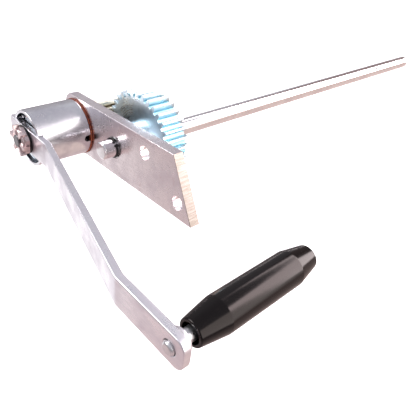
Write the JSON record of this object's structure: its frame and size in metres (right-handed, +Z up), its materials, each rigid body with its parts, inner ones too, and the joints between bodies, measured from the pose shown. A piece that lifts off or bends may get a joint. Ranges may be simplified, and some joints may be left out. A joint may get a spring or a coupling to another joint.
{
  "type": "hand crank gear drive with brake cup",
  "caption": "Hand crank with a wrap-spring brake cup, bolted to a flat plate, turning a long output shaft through a spur gear pair.",
  "frame": {"origin": "midpoint between the plate's two bolt holes, on the plate's gear-side face", "axes": "+Z up; +Y along the output shaft, away from the crank; +X along the plate, away from the brake cup"},
  "size_m": [0.306, 0.64, 0.0914],
  "materials": {
    "mounting_plate": "zinc plated, satin",
    "shaft_bush": "plain ground steel",
    "pinion_bush": "plain ground steel",
    "friction_lining": "copper-red friction lining",
    "brake_sleeve": "ground steel",
    "sleeve_screw_1": "black oxide",
    "sleeve_screw_2": "black oxide",
    "sleeve_screw_3": "black oxide",
    "brake_cup": "zinc plated, satin",
    "release_pin_1": "bright ground steel",
    "release_pin_2": "copper-toned steel",
    "wrap_spring": "oiled spring steel",
    "pinion_spindle": "dark turned steel",
    "pinion": "zinc plated",
    "pinion_key": "bright steel",
    "pinion_circlip": "black oxide",
    "crank_arm": "zinc plated, bright satin",
    "arm_washer": "black oxide",
    "castle_nut": "zinc plated, warm",
    "cotter_pin": "zinc plated",
    "grip_spindle": "zinc plated",
    "spindle_collar": "zinc plated",
    "grip_end_washer": "zinc plated",
    "grip_circlip": "black oxide",
    "grip_sleeve": "glossy black",
    "grip_bush": "plain bronze",
    "grip_cap": "glossy black",
    "output_shaft": "bright drawn steel",
    "drive_gear": "zinc plated, cool tint",
    "gear_key": "bright steel",
    "thrust_washer": "plain bronze",
    "shaft_circlip": "black oxide",
    "gear_circlip": "black oxide"
  },
  "bodies": {
    "base": {"mounting_plate": "mounting_plate", "shaft_bush": "shaft_bush", "pinion_bush": "pinion_bush", "friction_lining": "friction_lining", "brake_sleeve": "brake_sleeve", "sleeve_screw_1": "sleeve_screw_1", "sleeve_screw_2": "sleeve_screw_2", "sleeve_screw_3": "sleeve_screw_3"},
    "crank": {"brake_cup": "brake_cup", "release_pin_1": "release_pin_1", "release_pin_2": "release_pin_2", "wrap_spring": "wrap_spring", "pinion_spindle": "pinion_spindle", "pinion": "pinion", "pinion_key": "pinion_key", "pinion_circlip": "pinion_circlip", "crank_arm": "crank_arm", "arm_washer": "arm_washer", "castle_nut": "castle_nut", "cotter_pin": "cotter_pin", "grip_spindle": "grip_spindle", "spindle_collar": "spindle_collar", "grip_end_washer": "grip_end_washer", "grip_circlip": "grip_circlip"},
    "grip": {"grip_sleeve": "grip_sleeve", "grip_bush": "grip_bush", "grip_cap": "grip_cap"},
    "output": {"output_shaft": "output_shaft", "drive_gear": "drive_gear", "gear_key": "gear_key", "thrust_washer": "thrust_washer", "shaft_circlip": "shaft_circlip", "gear_circlip": "gear_circlip"}
  },
  "joints": [
    {"name": "crank_turn", "type": "hinge", "parent": "base", "child": "crank", "pos_m": [-0.12743, -0.0357, -0.002], "axis": [0, 1, 0], "continuous": true},
    {"name": "output_turn", "type": "hinge", "parent": "base", "child": "output", "pos_m": [-0.0665, 0, 0], "axis": [0, 1, 0], "continuous": true},
    {"name": "grip_turn", "type": "hinge", "parent": "crank", "child": "grip", "pos_m": [0.12516, -0.03, -0.01639], "axis": [0, 1, 0], "continuous": true}
  ],
  "couplings": [
    {"joint": "output_turn", "follows": "crank_turn", "ratio": -0.41176}
  ]
}
